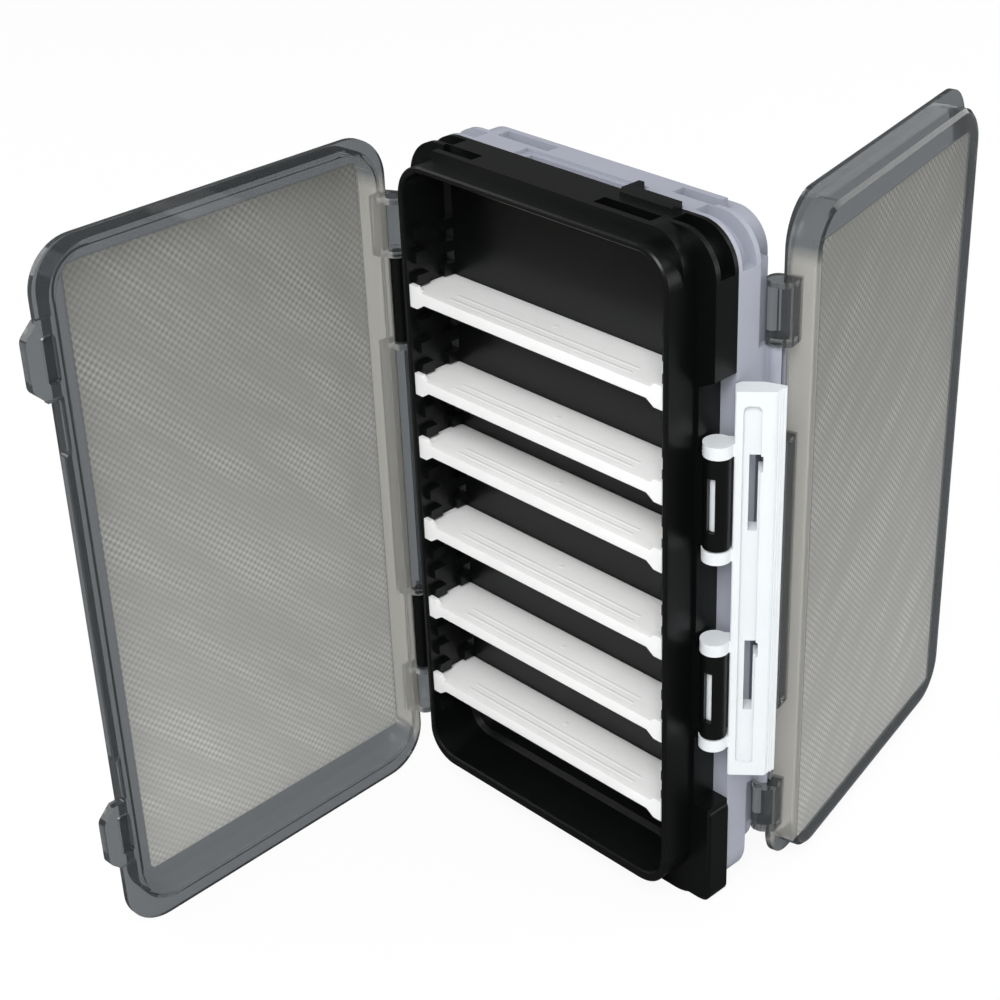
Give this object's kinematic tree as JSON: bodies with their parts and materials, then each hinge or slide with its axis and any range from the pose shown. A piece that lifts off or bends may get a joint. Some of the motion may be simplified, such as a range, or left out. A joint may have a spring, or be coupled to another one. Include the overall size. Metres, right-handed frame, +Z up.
{
  "type": "lure box",
  "caption": "Double-sided lure box on end: two trays back to back, smoke lids on side hinges, hinged bar latches and slide-in dividers in toothed racks.",
  "frame": {"origin": "middle of the foot line of the two trays, on the plane where they meet back to back, at floor level", "axes": "+Z up along the case's length as it stands on end, -Y out of the front (black) tray, +X towards the front tray's latch"},
  "size_m": [0.113, 0.2204, 0.175],
  "materials": {
    "black_plastic": "satin moulded black",
    "grey_plastic": "satin moulded lavender grey",
    "smoke_plastic": "smoke-tinted translucent, fine dotted panels",
    "latch_plastic": "satin white",
    "divider_plastic": "satin natural white"
  },
  "bodies": {
    "trays": {"front_tray": "black_plastic", "back_tray": "grey_plastic"},
    "front_lid": {"front_lid": "smoke_plastic"},
    "back_lid": {"back_lid": "smoke_plastic"},
    "front_latch": {"front_latch": "latch_plastic"},
    "back_latch": {"back_latch": "latch_plastic"},
    "front_divider_1": {"front_divider_1": "divider_plastic"},
    "front_divider_2": {"front_divider_2": "divider_plastic"},
    "front_divider_3": {"front_divider_3": "divider_plastic"},
    "front_divider_4": {"front_divider_4": "divider_plastic"},
    "front_divider_5": {"front_divider_5": "divider_plastic"},
    "front_divider_6": {"front_divider_6": "divider_plastic"},
    "back_divider_1": {"back_divider_1": "divider_plastic"},
    "back_divider_2": {"back_divider_2": "divider_plastic"},
    "back_divider_3": {"back_divider_3": "divider_plastic"},
    "back_divider_4": {"back_divider_4": "divider_plastic"},
    "back_divider_5": {"back_divider_5": "divider_plastic"},
    "back_divider_6": {"back_divider_6": "divider_plastic"}
  },
  "joints": [
    {"name": "front_lid_hinge", "type": "hinge", "parent": "trays", "child": "front_lid", "pos_m": [-0.04845, -0.0114, 0.0876], "axis": [0, 0, -1], "range_deg": [-88, 72]},
    {"name": "back_lid_hinge", "type": "hinge", "parent": "trays", "child": "back_lid", "pos_m": [0.04845, 0.0114, 0.0876], "axis": [0, 0, -1], "range_deg": [-77, 83]},
    {"name": "front_latch_hinge", "type": "hinge", "parent": "trays", "child": "front_latch", "pos_m": [0.0465, -0.005, 0.0883], "axis": [0, 0, 1], "range_deg": [-130.8, 0]},
    {"name": "back_latch_hinge", "type": "hinge", "parent": "trays", "child": "back_latch", "pos_m": [-0.0465, 0.005, 0.0883], "axis": [0, 0, 1], "range_deg": [-130.8, 0]},
    {"name": "front_divider_1_slide", "type": "slide", "parent": "trays", "child": "front_divider_1", "axis": [0, -1, 0], "range_m": [0, 0.0145]},
    {"name": "front_divider_2_slide", "type": "slide", "parent": "trays", "child": "front_divider_2", "axis": [0, -1, 0], "range_m": [0, 0.0145]},
    {"name": "front_divider_3_slide", "type": "slide", "parent": "trays", "child": "front_divider_3", "axis": [0, -1, 0], "range_m": [0, 0.0145]},
    {"name": "front_divider_4_slide", "type": "slide", "parent": "trays", "child": "front_divider_4", "axis": [0, -1, 0], "range_m": [0, 0.0145]},
    {"name": "front_divider_5_slide", "type": "slide", "parent": "trays", "child": "front_divider_5", "axis": [0, -1, 0], "range_m": [0, 0.0145]},
    {"name": "front_divider_6_slide", "type": "slide", "parent": "trays", "child": "front_divider_6", "axis": [0, -1, 0], "range_m": [0, 0.0145]},
    {"name": "back_divider_1_slide", "type": "slide", "parent": "trays", "child": "back_divider_1", "axis": [0, 1, 0], "range_m": [0, 0.0145]},
    {"name": "back_divider_2_slide", "type": "slide", "parent": "trays", "child": "back_divider_2", "axis": [0, 1, 0], "range_m": [0, 0.0145]},
    {"name": "back_divider_3_slide", "type": "slide", "parent": "trays", "child": "back_divider_3", "axis": [0, 1, 0], "range_m": [0, 0.0145]},
    {"name": "back_divider_4_slide", "type": "slide", "parent": "trays", "child": "back_divider_4", "axis": [0, 1, 0], "range_m": [0, 0.0145]},
    {"name": "back_divider_5_slide", "type": "slide", "parent": "trays", "child": "back_divider_5", "axis": [0, 1, 0], "range_m": [0, 0.0145]},
    {"name": "back_divider_6_slide", "type": "slide", "parent": "trays", "child": "back_divider_6", "axis": [0, 1, 0], "range_m": [0, 0.0145]}
  ]
}
